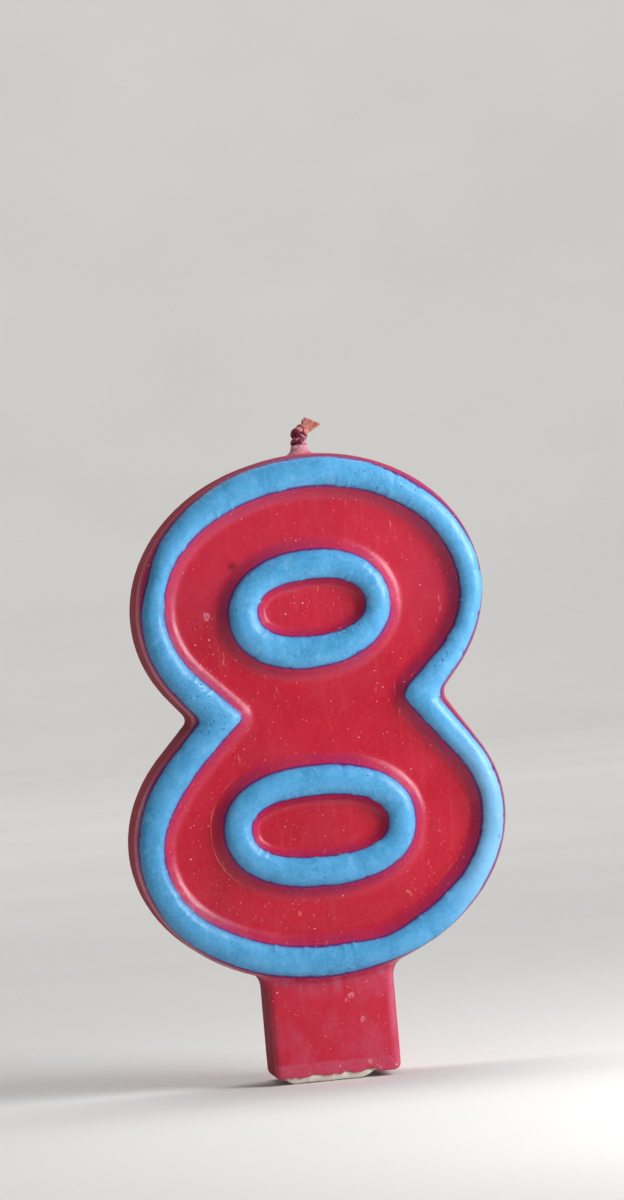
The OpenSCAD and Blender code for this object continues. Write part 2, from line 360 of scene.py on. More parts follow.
# ---------------------------------------------------------------- surfaces
def surface_net(values, x, y, z):
    """Closed quad mesh where values cross zero; values are negative inside."""
    inside = values < 0
    steps = [(i, j, k) for i in (0, 1) for j in (0, 1) for k in (0, 1)]
    nx, ny, nz = (n - 1 for n in values.shape)

    def corner(array, s):
        return array[s[0]:s[0] + nx, s[1]:s[1] + ny, s[2]:s[2] + nz]

    count = sum(corner(inside, s).astype(np.int8) for s in steps)
    active = np.argwhere((count > 0) & (count < 8))
    total = np.zeros((len(active), 3))
    hits = np.zeros(len(active))
    axes = (np.asarray(x), np.asarray(y), np.asarray(z))

    def at(s):
        index = active + s
        place = np.stack([axes[d][index[:, d]] for d in range(3)], -1)
        return values[index[:, 0], index[:, 1], index[:, 2]], place

    for s in steps:
        for d in range(3):
            if s[d]:
                continue
            t = list(s)
            t[d] = 1
            (va, pa), (vb, pb) = at(s), at(t)
            cut = (va < 0) != (vb < 0)
            f = np.where(cut, va / np.where(cut, va - vb, 1), 0)[:, None]
            total += np.where(cut[:, None], pa + (pb - pa) * f, 0)
            hits += cut
    verts = total / hits[:, None]
    index = np.full((nx, ny, nz), -1)
    index[tuple(active.T)] = np.arange(len(active))

    quads = []
    for d in range(3):
        e, f = [n for n in range(3) if n != d]
        low = [slice(None)] * 3
        high = [slice(None)] * 3
        low[d], high[d] = slice(0, -1), slice(1, None)
        a, b = inside[tuple(low)], inside[tuple(high)]
        spots = np.argwhere(a != b)
        spots = spots[(spots[:, e] > 0) & (spots[:, f] > 0)
                      & (spots[:, e] < values.shape[e] - 1)
                      & (spots[:, f] < values.shape[f] - 1)]
        starts = a[tuple(spots.T)]
        around = []
        for de, df in ((-1, -1), (0, -1), (0, 0), (-1, 0)):
            cell = spots.copy()
            cell[:, e] += de
            cell[:, f] += df
            around.append(index[tuple(cell.T)])
        quad = np.stack(around, -1)
        turn = starts if d != 1 else ~starts
        quads.append(np.where(turn[:, None], quad, quad[:, ::-1]))
    return verts, np.vstack(quads)


def new_object(name, verts_mm, faces, material):
    mesh = bpy.data.meshes.new(name)
    mesh.from_pydata((np.asarray(verts_mm) * MM).tolist(), [], [list(map(int, f)) for f in faces])
    mesh.validate()
    mesh.shade_smooth()
    mesh.materials.append(material)
    obj = bpy.data.objects.new(name, mesh)
    bpy.context.scene.collection.objects.link(obj)
    return obj


def set_attribute(obj, name, values):
    layer = obj.data.attributes.new(name, "FLOAT", "POINT")
    layer.data.foreach_set("value", np.asarray(values, np.float32))


def sample(array, points):
    """Bilinear reading of a drawing-grid map at x, z points."""
    i = np.clip(np.searchsorted(xs, points[:, 0]) - 1, 0, len(xs) - 2)
    k = np.clip(np.searchsorted(zs, points[:, 1]) - 1, 0, len(zs) - 2)
    u = np.clip((points[:, 0] - xs[i]) / (xs[i + 1] - xs[i]), 0, 1)
    v = np.clip((points[:, 1] - zs[k]) / (zs[k + 1] - zs[k]), 0, 1)
    return ((array[i, k] * (1 - u) + array[i + 1, k] * u) * (1 - v)
            + (array[i, k + 1] * (1 - u) + array[i + 1, k + 1] * u) * v)


# --------------------------------------------------------------- materials
class Nodes:
    """A short way to write one material's node tree."""

    def __init__(self, name):
        self.material = bpy.data.materials.new(name)
        self.material.use_nodes = True
        self.tree = self.material.node_tree
        self.shader = self.tree.nodes["Principled BSDF"]
        coords = self.add("ShaderNodeTexCoord")
        self.place = self.vector("SCALE", coords.outputs["Object"], scale=1 / MM)

    def add(self, kind, **settings):
        node = self.tree.nodes.new(kind)
        for key, value in settings.items():
            setattr(node, key, value)
        return node

    def put(self, socket, value):
        if isinstance(value, bpy.types.NodeSocket):
            self.tree.links.new(value, socket)
        else:
            socket.default_value = value

    def set(self, name, value):
        self.put(self.shader.inputs[name], value)

    def vector(self, operation, a, b=None, scale=None):
        node = self.add("ShaderNodeVectorMath", operation=operation)
        self.put(node.inputs[0], a)
        if b is not None:
            self.put(node.inputs[1], b)
        if scale is not None:
            node.inputs["Scale"].default_value = scale
        return node.outputs[0]

    def math(self, operation, a, b=0.0, clamp=False):
        node = self.add("ShaderNodeMath", operation=operation, use_clamp=clamp)
        self.put(node.inputs[0], a)
        self.put(node.inputs[1], b)
        return node.outputs[0]

    def noise(self, per_mm, detail=2.0, stretch=(1, 1, 1), offset=0.0, distortion=0.0):
        place = self.vector("MULTIPLY", self.place, stretch)
        if offset:
            place = self.vector("ADD", place, (offset, offset, offset))
        node = self.add("ShaderNodeTexNoise")
        self.put(node.inputs["Vector"], place)
        node.inputs["Scale"].default_value = per_mm
        node.inputs["Detail"].default_value = detail
        node.inputs["Distortion"].default_value = distortion
        return node.outputs["Fac"]

    def spots(self, per_mm, radius, share, soft=0.5, offset=0.0):
        """1 inside small round spots; share is how many cells hold one."""
        place = self.vector("ADD", self.place, (offset, offset, offset))
        node = self.add("ShaderNodeTexVoronoi")
        self.put(node.inputs["Vector"], place)
        node.inputs["Scale"].default_value = per_mm
        size = radius * per_mm
        near = self.ramp(node.outputs["Distance"], size, size * (1 - soft))
        pick = self.add("ShaderNodeSeparateColor")
        self.put(pick.inputs[0], node.outputs["Color"])
        chosen = self.math("LESS_THAN", pick.outputs[0], share)
        return self.math("MULTIPLY", near, chosen)

    def ramp(self, value, low, high, to_low=0.0, to_high=1.0):
        node = self.add("ShaderNodeMapRange", interpolation_type="SMOOTHSTEP")
        self.put(node.inputs["Value"], value)
        if low > high:
            low, high, to_low, to_high = high, low, to_high, to_low
        node.inputs["From Min"].default_value = low
        node.inputs["From Max"].default_value = high
        node.inputs["To Min"].default_value = to_low
        node.inputs["To Max"].default_value = to_high
        return node.outputs["Result"]

    def mix(self, factor, a, b):
        node = self.add("ShaderNodeMix", data_type="RGBA")
        self.put(node.inputs["Factor"], factor)
        self.put(node.inputs["A"], (*a, 1) if isinstance(a, tuple) else a)
        self.put(node.inputs["B"], (*b, 1) if isinstance(b, tuple) else b)
        return node.outputs["Result"]

    def attribute(self, name):
        return self.add("ShaderNodeAttribute", attribute_name=name).outputs["Fac"]

    def away_from(self, x, y, z):
        """Distance from a point, in millimetres."""
        node = self.add("ShaderNodeVectorMath", operation="DISTANCE")
        self.put(node.inputs[0], self.place)
        self.put(node.inputs[1], (x, y, z))
        return node.outputs["Value"]

    def axis(self, letter):
        node = self.add("ShaderNodeSeparateXYZ")
        self.put(node.inputs[0], self.place)
        return node.outputs[letter]

    def bump(self, layers):
        """Adds bump layers, each a height socket and its depth in mm."""
        normal = None
        for height, depth in layers:
            node = self.add("ShaderNodeBump")
            self.put(node.inputs["Height"], height)
            node.inputs["Strength"].default_value = 1.0
            node.inputs["Distance"].default_value = depth * MM
            if normal is not None:
                self.put(node.inputs["Normal"], normal)
            normal = node.outputs["Normal"]
        self.set("Normal", normal)


def red_base(n, x, z, grain):
    """The dyed wax's own colour."""
    colour = n.mix(n.ramp(n.noise(0.09, 2), 0.35, 0.65), (0.46, 0.007, 0.026), (0.53, 0.009, 0.034))
    colour = n.mix(n.ramp(grain, 0.35, 0.7, 0, 0.3), colour, (0.6, 0.025, 0.05))
    # Faint runs down the flat wax, left by the dip
    runs = n.noise(0.9, 3, stretch=(1, 1, 0.12), offset=4)
    colour = n.mix(n.ramp(runs, 0.52, 0.72, 0, 0.3), colour, (0.58, 0.04, 0.065))
    # Painted shade: the red is a little deeper at the upper right, where the photograph is darker
    painted_shade_upper_right = n.math("MULTIPLY", n.ramp(x, 11.0, 17.0, 0, 0.4), n.ramp(z, 44.0, 52.0))
    return n.mix(painted_shade_upper_right, colour, (0.36, 0.014, 0.04))


def red_bloom_and_painted_haze(n, x, z, grain, on_stub):
    """Pale bloom: drips under the blue and a band at the foot. The stub is paler along its right edge,
    and a painted reflection haze lies over the face.

    Also gives the drops that hang along the foot.
    """
    patchy = n.noise(0.32, 4, stretch=(1, 1, 0.7), offset=7)
    streaky = n.noise(0.75, 4, stretch=(1, 1, 0.35), offset=2)
    drips = n.math("MULTIPLY", n.ramp(z, 8.6, 12.0), n.ramp(streaky, 0.42, 0.66))
    foot = n.math("MULTIPLY", n.ramp(z, 1.75, 1.5), n.ramp(grain, 0.3, 0.6, 0.3, 0.75))
    drops = n.math("MULTIPLY", n.ramp(z, 1.9, 1.4), n.spots(0.42, 0.5, 0.6, soft=0.9, offset=14))
    side = n.math("MULTIPLY", n.ramp(x, 6.4, 7.3), n.ramp(streaky, 0.35, 0.6, 0.35, 1.0))
    cloud = n.math("MULTIPLY", n.ramp(patchy, 0.4, 0.72), n.ramp(grain, 0.25, 0.7, 0.25, 0.6))
    # Painted reflection: a pale haze in patches, and more of it over the upper part
    painted_haze = n.math("MULTIPLY", n.ramp(n.noise(0.13, 3, offset=15), 0.45, 0.75), 0.1)
    painted_haze = n.math("ADD", painted_haze, n.ramp(z, 48, 60, 0, 0.1))
    bloom_and_painted_haze = n.math("MULTIPLY", cloud, on_stub)
    for part in (drips, side):
        bloom_and_painted_haze = n.math("MAXIMUM", bloom_and_painted_haze, n.math("MULTIPLY", part, on_stub))
    for part in (foot, drops, painted_haze):
        bloom_and_painted_haze = n.math("MAXIMUM", bloom_and_painted_haze, part)
    return bloom_and_painted_haze, drops


def red_by_the_blue(n, colour, gap):
    """A painted glint where the slopes end, and the dark seam at the blue, partly painted shade."""
    crease = n.math("MULTIPLY", n.ramp(gap, 1.5, 1.58), n.ramp(gap, 1.72, 1.64))
    painted_glint = n.math("MULTIPLY", crease, n.attribute("painted_glint"))
    painted_glint = n.math("MULTIPLY", painted_glint, n.ramp(n.noise(0.22, 3, offset=3), 0.42, 0.58, 0.05, 0.95))
    # Painted glint: a thin orange line where the skirts run out into the field
    colour = n.mix(painted_glint, colour, (0.7, 0.17, 0.08))
    # Dark seam on the red at the blue's edge: the paint's thin edge, and painted shade for the small
    # groove there
    seam = n.ramp(gap, 0.28, 0.08, 0, 0.9)
    return n.mix(seam, colour, (0.1, 0.014, 0.17))


def red_dust(n):
    """Dust, in three sizes of speck, the finest in patches."""
    coarse = n.spots(0.5, 0.13, 0.6, soft=0.6)
    middling = n.spots(0.9, 0.08, 0.7, soft=0.5, offset=33)
    patches = n.ramp(n.noise(0.2, 3, offset=72), 0.38, 0.55)
    fine = n.math("MULTIPLY", n.spots(1.7, 0.07, 0.7, offset=71), patches)
    return n.math("MAXIMUM", n.math("MAXIMUM", coarse, middling), n.math("MULTIPLY", fine, 0.7))


def red_scratches(n):
    """A few small scratches all over, and more in one place."""
    few = n.ramp(n.noise(1.7, 2, stretch=(1, 1, 0.3), offset=50), 0.7, 0.74)
    few = n.math("MULTIPLY", few, n.ramp(n.noise(0.12, 2, offset=60), 0.46, 0.56))
    mark_x, mark_z, radius = SCRATCHED
    near = n.ramp(n.away_from(mark_x, FIELD_Y, mark_z), radius, 0.4 * radius)
    lines = n.ramp(n.noise(2.6, 3, stretch=(1, 1, 0.45), offset=52), 0.6, 0.66)
    return n.math("MAXIMUM", few, n.math("MULTIPLY", lines, near))


def red_flaws(n, colour, grain):
    """Burst bubbles and a stain, each a little out of round."""
    wobble = n.math("MULTIPLY", n.math("SUBTRACT", n.noise(1.8, 3, offset=44), 0.5), 0.7)
    for mark_x, mark_z, radius in BUBBLES:
        away = n.math("ADD", n.away_from(mark_x, FIELD_Y, mark_z), wobble)
        rim = n.ramp(away, 0, 0.7 * radius, 0.4, 1.0)
        burst = n.math("MULTIPLY", n.ramp(away, radius, 0.7 * radius), rim)
        burst = n.math("MULTIPLY", burst, n.ramp(grain, 0.35, 0.55, 0.15, 0.6))
        colour = n.mix(burst, colour, (0.75, 0.3, 0.38))
    stain_x, stain_z, radius = STAIN
    away = n.math("ADD", n.away_from(stain_x, FIELD_Y, stain_z), wobble)
    return n.mix(n.ramp(away, radius, 0.1, 0, 0.75), colour, (0.2, 0.008, 0.03))


def red_ends(n, colour, x, z, grain, drops):
    """The torn lower edge, and the thin wax that climbs the wick."""
    # Crumbs of the pale core lie along the tear
    crumbs = n.math("MULTIPLY", n.spots(1.5, 0.2, 0.5, soft=0.4, offset=81), n.ramp(z, 0.6, 0.2))
    crumbs = n.math("MULTIPLY", crumbs, n.ramp(x, 0.5, 3.0))
    colour = n.mix(crumbs, colour, (0.85, 0.72, 0.68))
    colour = n.mix(n.math("MULTIPLY", drops, 0.6), colour, (0.7, 0.36, 0.44))
    # Thin wax round the wick lets the pale cotton through, then soaks in dark
    film = n.math("MULTIPLY", n.ramp(z, 75.9, 76.7), n.ramp(grain, 0.3, 0.6, 0.6, 0.95))
    colour = n.mix(film, colour, (0.66, 0.26, 0.34))
    rim = n.math("MULTIPLY", n.ramp(z, 76.8, 77.3), n.ramp(grain, 0.4, 0.55, 0.2, 0.9))
    colour = n.mix(rim, colour, (0.8, 0.47, 0.52))
    return n.mix(n.ramp(z, 77.45, 77.65), colour, (0.13, 0.008, 0.025))


def red_wax():
    n = Nodes("red_wax")
    # Heights here run from the skin's lower edge
    x, z = n.axis("X"), n.math("SUBTRACT", n.axis("Z"), FOOT_H)
    gap = n.attribute("ridge_gap")
    grain = n.noise(2.6, 5, offset=31)
    colour = red_base(n, x, z, grain)
    # Painted shade and reflection: the ridges' slopes are darker and more purple, in patches
    slope = n.ramp(gap, 2.0, 0.4)
    painted_slope_shade = n.math("MULTIPLY", slope, n.ramp(n.noise(0.3, 3, offset=37), 0.35, 0.65, 0.3, 0.6))
    colour = n.mix(painted_slope_shade, colour, (0.29, 0.03, 0.135))
    on_stub = n.ramp(z, 14.0, 12.0)
    colour = n.mix(n.math("MULTIPLY", on_stub, 0.5), colour, (0.62, 0.013, 0.05))
    bloom_and_painted_haze, drops = red_bloom_and_painted_haze(n, x, z, grain, on_stub)
    # Pale bloom, and the painted reflection haze
    colour = n.mix(n.math("MULTIPLY", bloom_and_painted_haze, 0.6), colour, (0.56, 0.12, 0.22))
    colour = red_by_the_blue(n, colour, gap)
    dust, scratch = red_dust(n), red_scratches(n)
    colour = n.mix(n.math("MULTIPLY", scratch, 0.6), colour, (0.74, 0.16, 0.12))
    colour = n.mix(n.math("MULTIPLY", dust, 0.85), colour, (0.9, 0.58, 0.6))
    colour = red_flaws(n, colour, grain)
    colour = red_ends(n, colour, x, z, grain, drops)
    # The side wall is duller than the face, and painted darker: a painted shade
    wall = n.math("MULTIPLY", n.attribute("wall"), n.ramp(z, 76.0, 75.4))
    colour = n.mix(n.math("MULTIPLY", wall, 0.85), colour, (0.25, 0.003, 0.022))
    n.set("Base Color", colour)
    rough = n.ramp(n.noise(0.5, 4, offset=11), 0.3, 0.7, 0.28, 0.36)
    dull = n.math("ADD", n.math("MULTIPLY", bloom_and_painted_haze, 0.2), n.math("MULTIPLY", wall, 0.5))
    glossy = n.math("MULTIPLY", slope, n.ramp(n.noise(0.35, 2, offset=66), 0.35, 0.6, -0.06, 0.07))
    n.set("Roughness", n.math("SUBTRACT", n.math("ADD", rough, dull), glossy, clamp=True))
    n.set("Subsurface Weight", 0.25)
    n.set("Subsurface Radius", (1.0, 0.1, 0.08))
    n.set("Subsurface Scale", 0.0008)
    n.set("IOR", 1.43)
    n.bump([(n.noise(0.5, 2, offset=5), 0.07), (n.noise(3.2, 2, offset=9), 0.012),
            (n.math("ADD", dust, scratch), 0.03)])
    return n.material


def blue_pits(n, edge):
    """Pinholes, crowded where bubbles gathered, and pale crumbs of wax; along the edges the pale specks
    are partly painted sparkle.
    """
    pitted = n.math("MULTIPLY", n.attribute("pitted"), n.ramp(n.noise(0.8, 2, offset=28), 0.42, 0.55))
    crowded = n.math("MULTIPLY", n.spots(1.9, 0.14, 0.7, soft=0.5, offset=40), pitted)
    holes = n.math("MAXIMUM", n.spots(0.5, 0.13, 0.4, soft=0.4), crowded)
    crumbs = n.math("MULTIPLY", n.spots(1.4, 0.13, 0.6, soft=0.5, offset=70), pitted)
    # Pale specks along the edges: crumbs of wax, and painted sparkle of highlight
    rim_crumbs_and_sparkle = n.math("MULTIPLY", n.spots(1.2, 0.12, 0.4, soft=0.5, offset=55), n.ramp(edge, 0.9, 0.5))
    crumbs = n.math("MAXIMUM", crumbs, n.spots(0.45, 0.1, 0.3, soft=0.5, offset=90))
    return holes, n.math("MAXIMUM", crumbs, rim_crumbs_and_sparkle)


def blue_wax():
    n = Nodes("blue_wax")
    colour = n.mix(n.ramp(n.noise(0.35, 3), 0.35, 0.65), (0.062, 0.315, 0.59), (0.088, 0.375, 0.68))
    # Painted light and shade, matched to the photograph: the blue is paler to the right, with a painted
    # highlight at the lower right, and darker on the far left
    x = n.axis("X")
    colour = n.mix(n.ramp(x, 8.0, 22.0, 0, 0.2), colour, (0.17, 0.48, 0.8))
    colour = n.mix(n.ramp(x, -12.0, -22.0, 0, 0.35), colour, (0.045, 0.27, 0.52))
    painted_glare_low_right = n.math("MULTIPLY", n.ramp(x, 14.0, 21.0, 0, 0.45), n.ramp(n.axis("Z"), 44.0, 36.0))
    colour = n.mix(painted_glare_low_right, colour, (0.3, 0.56, 0.8))
    grain = n.noise(2.4, 5, offset=21)
    colour = n.mix(n.ramp(grain, 0.45, 0.7, 0, 0.35), colour, (0.15, 0.47, 0.77))
    colour = n.mix(n.ramp(grain, 0.45, 0.25, 0, 0.35), colour, (0.037, 0.24, 0.47))
    scuff = n.ramp(n.noise(0.6, 5, offset=17, distortion=0.2), 0.55, 0.75, 0, 0.3)
    colour = n.mix(scuff, colour, (0.25, 0.53, 0.8))
    # The wax thins out along both edges and lets the red through
    edge = n.attribute("edge_gap")
    colour = n.mix(n.ramp(edge, 0.2, 0.02, 0, 0.75), colour, (0.1, 0.08, 0.32))
    holes, crumbs = blue_pits(n, edge)
    colour = n.mix(n.math("MULTIPLY", holes, 0.85), colour, (0.015, 0.07, 0.17))
    colour = n.mix(n.math("MULTIPLY", crumbs, 0.6), colour, (0.5, 0.76, 0.92))
    n.set("Base Color", colour)
    n.set("Roughness", n.ramp(n.noise(0.7, 4, offset=13), 0.3, 0.7, 0.3, 0.42))
    n.set("Subsurface Weight", 0.15)
    n.set("Subsurface Radius", (0.25, 0.6, 1.0))
    n.set("Subsurface Scale", 0.0004)
    n.set("IOR", 1.43)
    n.bump([(n.noise(0.7, 3, offset=5), 0.1), (grain, 0.012),
            (n.math("SUBTRACT", crumbs, holes), 0.07)])
    return n.material


def pale_wax():
    n = Nodes("pale_wax")
    colour = n.mix(n.ramp(n.noise(0.8, 4), 0.35, 0.7), (0.72, 0.68, 0.58), (0.82, 0.79, 0.72))
    n.set("Base Color", colour)
    n.set("Roughness", n.ramp(n.noise(1.5, 3), 0.3, 0.7, 0.45, 0.65))
    n.set("Subsurface Weight", 0.4)
    n.set("Subsurface Radius", (1.0, 0.8, 0.6))
    n.set("Subsurface Scale", 0.001)
    n.bump([(n.noise(2.0, 4), 0.08)])
    return n.material


def wick_cotton():
    n = Nodes("wick_cotton")
    x, bare = n.axis("X"), n.attribute("bare")
    colour = n.mix(n.ramp(n.noise(2.6, 3), 0.38, 0.62), (0.1, 0.006, 0.02), (0.34, 0.03, 0.06))
    # Painted highlight: pale pink in lumps on the right-hand side, where the light falls
    right_side = n.ramp(x, WICK_X + 0.2, WICK_X + 0.6)
    painted_highlight = n.math("MULTIPLY", right_side, n.ramp(n.noise(1.5, 3, offset=12), 0.4, 0.52))
    specks = n.ramp(n.noise(3.4, 2, offset=18), 0.62, 0.7, 0, 0.7)
    colour = n.mix(n.math("MAXIMUM", n.math("MULTIPLY", painted_highlight, 0.85), specks), colour, (0.74, 0.36, 0.46))
    fibre = n.noise(6.0, 3, stretch=(1, 1, 0.3), offset=25)
    clean = n.mix(n.ramp(fibre, 0.35, 0.65), (0.45, 0.13, 0.1), (0.6, 0.24, 0.19))
    n.set("Base Color", n.mix(bare, colour, clean))
    n.set("Roughness", n.math("ADD", n.math("MULTIPLY", bare, 0.35), 0.38))
    n.set("Sheen Weight", 0.15)
    n.bump([(n.noise(9.0, 3, stretch=(1, 1, 0.3)), 0.04)])
    return n.material


RED_WAX, BLUE_WAX = red_wax(), blue_wax()
PALE_WAX, WICK_COTTON = pale_wax(), wick_cotton()


# ---------------------------------------------------------- the wax forms
def form_values(ys, stub_bottom, corner_r):
    """Distance field of the whole dipped form, negative inside."""
    outline = smooth_min(wall_map, stub_map(0, stub_bottom, corner_r), STUB_BLEND)
    front = (front_map[:, None, :] - ys[None, :, None]) / steep[:, None, :]
    back = np.broadcast_to((ys - BACK_Y)[None, :, None], front.shape)
    body = smooth_max(np.broadcast_to(outline[:, None, :], front.shape), front, SHOULDER)
    return smooth_max(body, back, BACK_ROUND)


# Wider than the candle, so a cut moved back by it takes nothing off
NO_LIMIT = 99.0
# Off the front no ridge is near
NO_RIDGE_GAP = 9.0


def core_values(ys):
    """The core: a skin's thickness inside, spreading out at its bare foot."""
    spread = np.clip((zs - FOOT_H) / 0.6, 0, 1)
    inset = FLANGE_INSET + (DIP_T - FLANGE_INSET) * spread
    values = form_values(ys, -FLANGE_INSET, CORE_CORNER_R) + inset[None, None, :]
    narrow = np.where(zs < FOOT_H - 0.1, 0.0, -NO_LIMIT)
    side = np.abs(xs - FOOT_X) - FOOT_HALF_W
    return np.maximum(values, side[:, None, None] + narrow[None, None, :])


def level_lines(*stretches):
    return np.concatenate([np.arange(a, b - 1e-6, step) for a, b, step in stretches])


def ragged(x, y, size, seed):
    """Uneven heights over the foot, as an array like x and y."""
    points = np.stack([x.ravel(), y.ravel(), np.full(x.size, 0.5)], -1)
    return noise(points, size, seed).reshape(x.shape)


def red_overdip():
    ys = level_lines((CREST_Y - 0.3, -3.4, 0.2), (-3.4, 3.4, 0.68), (3.4, BACK_Y + 0.5, 0.2))
    outer = form_values(ys, -SHOULDER, STUB_CORNER_R)
    # The skin stays full at its lower edge, which the tear cuts off squarely
    corners = stub_map(-EDGE_SOFT / 2, FOOT_H - CORNER_DROP, STUB_CORNER_R)
    corners = np.where(zs < FINE_TO_Z, corners, -NO_LIMIT)[:, None, :]
    outer = smooth_max(outer, np.broadcast_to(corners, outer.shape), EDGE_SOFT)
    x, y, z = np.meshgrid(xs, ys, zs, indexing="ij")
    # The wax that ran up the wick's root
    off_axis = np.hypot(x - WICK_X, y)
    collar = np.maximum(off_axis - COLLAR_R, z - COLLAR_TOP_Z)
    outer = smooth_min(outer, np.maximum(collar, WICK_ROOT_Z - z), 1.2)
    fx, fy = x[:, :, 0], y[:, :, 0]
    teeth = 0.06 + 0.5 * ragged(fx, fy, 1.0, 123) + 0.2 * ragged(fx, fy, 0.45, 6)
    whole = np.clip(np.maximum(TORN_FROM_X - fx, fx - TORN_TO_X) / 0.3, 0, 1)
    torn = FOOT_H + teeth * (1 - whole) - CORNER_DROP * whole
    outer = np.maximum(outer, torn[:, :, None] - z)
    shell = np.maximum(outer, 0.02 - core_values(ys))
    return surface_net(shell, xs, ys, zs)


def wax_core():
    levels = np.concatenate([zs[zs < FINE_TO_Z], zs[zs >= FINE_TO_Z][::3]])
    pick = np.searchsorted(zs, levels)
    ys = level_lines((core_low[1] - 1.2, -3.4, 0.2), (-3.4, 3.4, 0.68), (3.4, core_high[1] + 1.3, 0.2))
    values = core_values(ys)[:, :, pick]
    x, y = np.meshgrid(xs, ys, indexing="ij")
    ends = np.maximum(x - FOOT_FLAT_TO_X, FOOT_FLAT_FROM_X - x) / FOOT_END
    rough = 0.05 + 0.07 * ragged(x, y, 0.9, 12) + FOOT_H * np.clip(ends, 0, 1) ** 2
    values = values + 0.08 * ragged(x, y, 0.7, 13)[:, :, None] * (levels < FOOT_H)
    values = np.maximum(values, rough[:, :, None] - levels)
    verts, quads = surface_net(values, xs, ys, levels)
    return new_object("wax_core_body", verts, quads, PALE_WAX)


# --------------------------------------------------------------- the beads
outline_map = smooth_min(wall_map, stub_map(0, FOOT_H - CORNER_DROP, STUB_CORNER_R), STUB_BLEND)


def red_front(points):
    """Depth of the red surface at x, z points, with its rounded shoulder."""
    outline = np.minimum(sample(wall_map, points), -0.02)
    rounded = (math.sqrt(SHOULDER) - np.sqrt(np.minimum(-outline, SHOULDER))) ** 2
    return sample(front_map, points) + sample(steep, points) * rounded


def bead(name, inner, outer, seed):
    """Blue wax over a ridge: thick on the crest, thin and wavy at the edges."""
    steps = 20
    across = (1 - np.cos(np.linspace(0, math.pi, steps))) / 2
    out = outer - inner
    width = np.linalg.norm(out, axis=1, keepdims=True)
    out = out / width

    def wave(curve, shift):
        p = np.stack([curve[:, 0], np.full(len(curve), shift), curve[:, 1]], -1)
        nick = np.clip(noise(p, 0.6, seed + 4) - 0.3, 0, 1)
        return (0.07 * noise(p, 2.6, seed) + 0.04 * noise(p, 0.9, seed + 1) - 0.22 * nick)[:, None]

    inner = inner + out * wave(inner, 0.0)
    outer = outer + out * wave(outer, 50.0)
    top, base, gaps = [], [], []
    for t in across:
        p = inner + (outer - inner) * t
        place = np.stack([p[:, 0], 0 * p[:, 0], p[:, 1]], -1)
        lump = 1 - 0.07 * (1 + noise(place, 4.0, seed + 2)) - 0.04 * (1 + noise(place, 1.3, seed + 3))
        round_over = (1 - abs(2 * t - 1) ** 2.2) ** 0.75
        crown = FIELD_Y - EDGE_H - (RELIEF - EDGE_H) * round_over * lump
        y = np.minimum(crown, red_front(p) - 0.3 * (1 - abs(2 * t - 1) ** 6))
        top.append(np.stack([p[:, 0], np.maximum(y, CREST_Y), p[:, 1]], -1))
        gaps.append(np.minimum(t, 1 - t) * width[:, 0])
    for t in across[::-4]:
        p = inner + (outer - inner) * t
        base.append(np.stack([p[:, 0], red_front(p) + 0.06, p[:, 1]], -1))
    rows = top + base
    count = len(inner)
    verts = np.stack(rows, 1).reshape(-1, 3)
    m = len(rows)
    i = np.repeat(np.arange(count), m)
    k = np.tile(np.arange(m), count)
    j, k2 = (i + 1) % count, (k + 1) % m
    faces = np.stack([i * m + k, i * m + k2, j * m + k2, j * m + k], -1)
    obj = new_object(name, verts, faces, BLUE_WAX)
    edge_gap = np.stack(gaps + [0 * gaps[0]] * len(base), 1).reshape(-1)
    set_attribute(obj, "edge_gap", edge_gap)
    pitted = np.zeros(len(verts))
    for x, z, reach in PITTED_PLACES:
        away = np.hypot(verts[:, 0] - x, verts[:, 2] - z)
        pitted = np.maximum(pitted, np.clip(1.6 - away / reach, 0, 1))
    set_attribute(obj, "pitted", pitted)
    return obj


# ---------------------------------------------------------------- the wick
def wick_line(s):
    """Middle of the wick and its sideways direction at lengths s."""
    straight = WICK_BEND_Z - WICK_BOTTOM_Z
    turn = np.clip((s - straight) / WICK_BEND_R, 0, WICK_BEND)
    rest = np.maximum(0, s - straight - WICK_BEND_R * WICK_BEND)
    x = WICK_X + WICK_BEND_R * (1 - np.cos(turn)) + rest * math.sin(WICK_BEND)
    z = (WICK_BOTTOM_Z + np.minimum(s, straight) + WICK_BEND_R * np.sin(turn)
         + rest * math.cos(WICK_BEND))
    middle = np.stack([x, 0 * x, z], -1)
    across = np.stack([np.cos(turn), 0 * turn, -np.sin(turn)], -1)
    return middle, across


WICK_LEN = WICK_BEND_Z - WICK_BOTTOM_Z + WICK_BEND_R * WICK_BEND + WICK_TIP
SWAY_W, SWAY_D, PLAIT = 0.6, 0.38, 2.9
YARN_W, YARN_D = 0.46, 0.34
# Rings are close together on the visible end and wider apart inside the wax
WICK_RING = 0.06
WICK_RING_INSIDE = 0.3
WICK_FINE_LEN = 7
LOOSE_FIBRES = 90
# At the untwisted end the yarns lie side by side. The cut slants across them.
FREE_LEN = 2.5
FREE_GAP = 0.52
BARE_LEN = 2.3
CUT_SLANT = math.tan(math.radians(27))


def tube(path, across, side_way, radius, sides):
    """Closed tube along a path; radius is an array of one row per ring."""
    angle = np.arange(sides) * 2 * math.pi / sides
    rings = (path[:, None] + radius[:, :, None]
             * (np.cos(angle)[None, :, None] * across[:, None]
                + np.sin(angle)[None, :, None] * side_way[:, None]))
    n = len(path)
    verts = np.vstack([rings.reshape(-1, 3), path[:1], path[-1:]])
    faces = [(i * sides + k, i * sides + (k + 1) % sides,
              (i + 1) * sides + (k + 1) % sides, (i + 1) * sides + k)
             for i in range(n - 1) for k in range(sides)]
    faces += [(n * sides, (k + 1) % sides, k) for k in range(sides)]
    last = (n - 1) * sides
    faces += [(n * sides + 1, last + k, last + (k + 1) % sides) for k in range(sides)]
    return verts, faces


